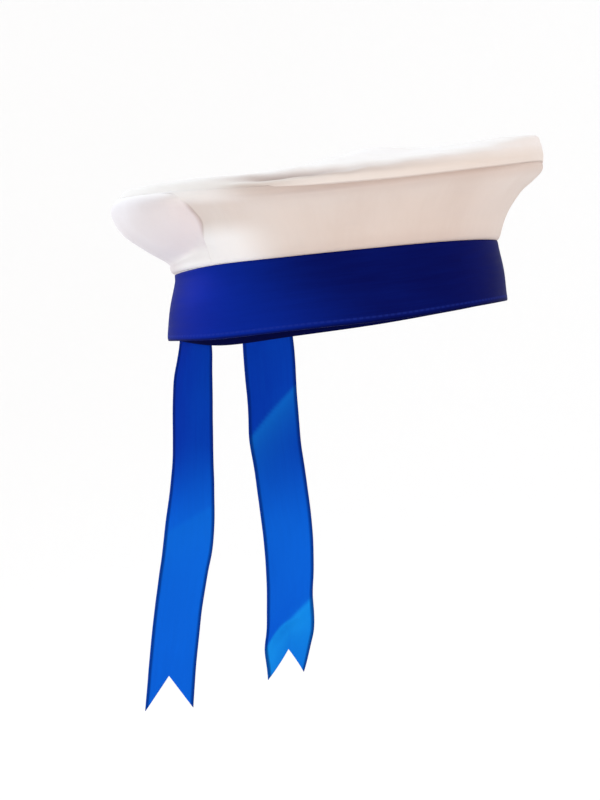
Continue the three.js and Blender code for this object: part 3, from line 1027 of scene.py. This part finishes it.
def ribbon_tail(name, rows, creases, notch, askew, node):
    """One ribbon, from the band down; notch is how deep its end is cut, and askew how unevenly."""
    bm = bmesh.new()
    bmesh.ops.create_grid(
        bm, x_segments=RIBBON_ACROSS, y_segments=RIBBON_ALONG, size=1, calc_uvs=False
    )
    cloth_map = bm.loops.layers.uv.new("cloth")
    crease_light = bm.verts.layers.float.new("crease_light")
    bottom = rows[-1]["z"]
    spots = {vert: (vert.co.x, (1 - vert.co.y) / 2) for vert in bm.verts}
    for vert, (across, down) in spots.items():
        at = ribbon_station(rows, down)
        angle = radians(at["facing"])
        sideways = Vector((cos(angle), sin(angle), 0))
        outward = Vector((sin(angle), -cos(angle), 0))
        lift = -at["bow"] * across * across
        for crease in creases:
            middle = (crease["left_z"] + crease["right_z"]) / 2
            slant = (crease["right_z"] - crease["left_z"]) / 2
            past = at["z"] - middle - slant * across
            reach = crease["above"] if past > 0 else crease["below"]
            lift += crease["rise"] * exp(1 - hypot(1, past / reach))
            # Painted light on the satin below the crease.
            if past < 0:
                vert[crease_light] += crease["pale"] * exp(past / crease["fade"]) * min(1, -past / 3)
        ripple_spot = Vector((across * 1.5, at["z"] / 14, rows[0]["x"]))
        lift += RIBBON_RIPPLE * noise.noise(ripple_spot)
        shorter = notch * (1 - abs(across)) + askew * across
        below = min(0.0, at["z"] - NOTCH_START_Z) / (bottom - NOTCH_START_Z)
        place = Vector((at["x"], at["y"], at["z"] + shorter * below))
        vert.co = (place + sideways * across * RIBBON_WIDTH / 2 + outward * lift) * MM
    for face in bm.faces:
        face.smooth = True
        for loop in face.loops:
            across, down = spots[loop.vert]
            loop[cloth_map].uv = (down * RIBBON_LENGTH * MM, across * RIBBON_WIDTH / 2 * MM)
    bmesh.ops.recalc_face_normals(bm, faces=bm.faces[:])
    mesh = bpy.data.meshes.new(name)
    bm.to_mesh(mesh)
    bm.free()
    piece = bpy.data.objects.new(name, mesh)
    bpy.context.scene.collection.objects.link(piece)
    wall = piece.modifiers.new("ribbon", "SOLIDIFY")
    wall.thickness = RIBBON_CLOTH * MM
    wall.offset = 0
    piece.data.materials.append(ribbon_satin)
    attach(piece, "root")
    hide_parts(node)


ribbon_satin = ribbon_finish()
ribbon_tail(
    "ribbon_right_satin", RIGHT_TAIL, RIGHT_CREASES, notch=20, askew=1.6, node="ribbon_tail_right"
)
ribbon_tail(
    "ribbon_left_satin", LEFT_TAIL, LEFT_CREASES, notch=17, askew=0.8, node="ribbon_tail_left"
)


# The stage. A plain white paper sweep below and all round, under a pale even sky, with a
# large cool lamp behind, a warm one in front, one overhead and a small one by the tails.

FLOOR_Z = -0.75
SWEEP_RADIUS = 3.2
SWEEP_TOP_Z = 2.45
CORNER_RADIUS = 1.0
CORNER_STEPS = 8
SWEEP_AROUND = 64
FAR_WAY = (0.73, 0.68)
WALL_FAR = 0.54
WALL_NEAR = 0.25
FLOOR_GLOW = 0.25
FLOOR_END = (0.7, 1.35)
SKY_LIGHT = 0.85


def grey(level):
    return (level, level, level, 1)


def sweep():
    """The floor, turning up in a round corner into a wall all round."""
    bm = bmesh.new()
    flat = SWEEP_RADIUS - CORNER_RADIUS
    points = [(0.0, FLOOR_Z), (flat, FLOOR_Z)]
    for i in range(1, CORNER_STEPS + 1):
        turn = radians(90 * i / CORNER_STEPS)
        points.append((flat + CORNER_RADIUS * sin(turn), FLOOR_Z + CORNER_RADIUS * (1 - cos(turn))))
    points.append((SWEEP_RADIUS, SWEEP_TOP_Z))
    verts = [bm.verts.new((x, 0, z)) for x, z in points]
    for a, b in zip(verts, verts[1:]):
        bm.edges.new((a, b))
    bmesh.ops.spin(
        bm, geom=bm.verts[:] + bm.edges[:], cent=(0, 0, 0), axis=(0, 0, 1),
        angle=2 * pi, steps=SWEEP_AROUND, use_merge=True,
    )
    bmesh.ops.remove_doubles(bm, verts=bm.verts[:], dist=0.0001)
    bmesh.ops.recalc_face_normals(bm, faces=bm.faces[:])
    for face in bm.faces:
        face.smooth = True
    mesh = bpy.data.meshes.new("sweep")
    bm.to_mesh(mesh)
    bm.free()
    piece = bpy.data.objects.new("sweep", mesh)
    bpy.context.scene.collection.objects.link(piece)
    return piece


def sweep_paper():
    """White paper that glows a little, more so on the wall behind the cap."""
    material, dye = finish("sweep paper", (1, 1, 1, 1), {
        "Base Color": grey(0.5),
        "Roughness": 0.9,
        "Specular IOR Level": 0.0,
        "Emission Strength": 1.0,
    })
    place = dye.node("ShaderNodeTexCoord", None, None, "Object")
    parts = dye.node("ShaderNodeSeparateXYZ", None, {"Vector": place})
    x, y = parts.other("X"), parts.other("Y")
    reach = (x * x + y * y + 0.0001) ** 0.5
    lit_side = ((x * FAR_WAY[0] + y * FAR_WAY[1]) / reach).step(-0.35, 0.55)
    wall = lit_side.blend(grey(WALL_NEAR), grey(WALL_FAR))
    dress(material, Emission_Color=reach.step(*FLOOR_END).blend(grey(FLOOR_GLOW), wall))
    return material


backdrop = sweep()
backdrop.data.materials.append(sweep_paper())


def add_holder(name, data, place, aim):
    """Puts a lamp or the camera at a place in metres, turned towards its aim."""
    holder = bpy.data.objects.new(name, data)
    holder.location = place
    holder.rotation_euler = (Vector(aim) - Vector(place)).to_track_quat("-Z", "Y").to_euler()
    bpy.context.scene.collection.objects.link(holder)
    return holder


def lamp(name, place, aim, size, power, tint=(1.0, 1.0, 1.0)):
    """A round soft lamp that the camera doesn't see."""
    light = bpy.data.lights.new(name, "AREA")
    light.shape = "DISK"
    light.size = size
    light.energy = power
    light.color = tint
    add_holder(name, light, place, aim).visible_camera = False


lamp("side lamp", (-0.35, 1.45, 0.65), (0, 0, 0.03), size=0.9, power=12.5, tint=(0.72, 0.87, 1.0))
lamp("top lamp", (0.1, 0.1, 1.75), (0, 0, 0), size=1.1, power=2)
lamp("warm lamp", (-0.2, -1.55, 0.1), (0, 0, 0), size=1.1, power=4.5, tint=(1.0, 0.5, 0.25))
lamp("low lamp", (-0.42, -0.1, -0.38), (0.0, 0.09, -0.2), size=0.3, power=0.8)

world = bpy.data.worlds.new("studio")
world.use_nodes = True
sky = world.node_tree.nodes["Background"]
sky.inputs["Color"].default_value = grey(1.0)
sky.inputs["Strength"].default_value = SKY_LIGHT
bpy.context.scene.world = world
bpy.context.scene.view_settings.view_transform = "Standard"

# The camera stands about 1.1 m off at the wearer's right front, just above the crown's level.
camera = bpy.data.cameras.new("camera")
camera.lens = 91.6
camera.sensor_width = 36
camera.clip_start = 0.05
bpy.context.scene.camera = add_holder(
    "camera", camera, place=(-0.8007, -0.7467, 0.1064), aim=(-0.01727, 0.01233, -0.0434)
)
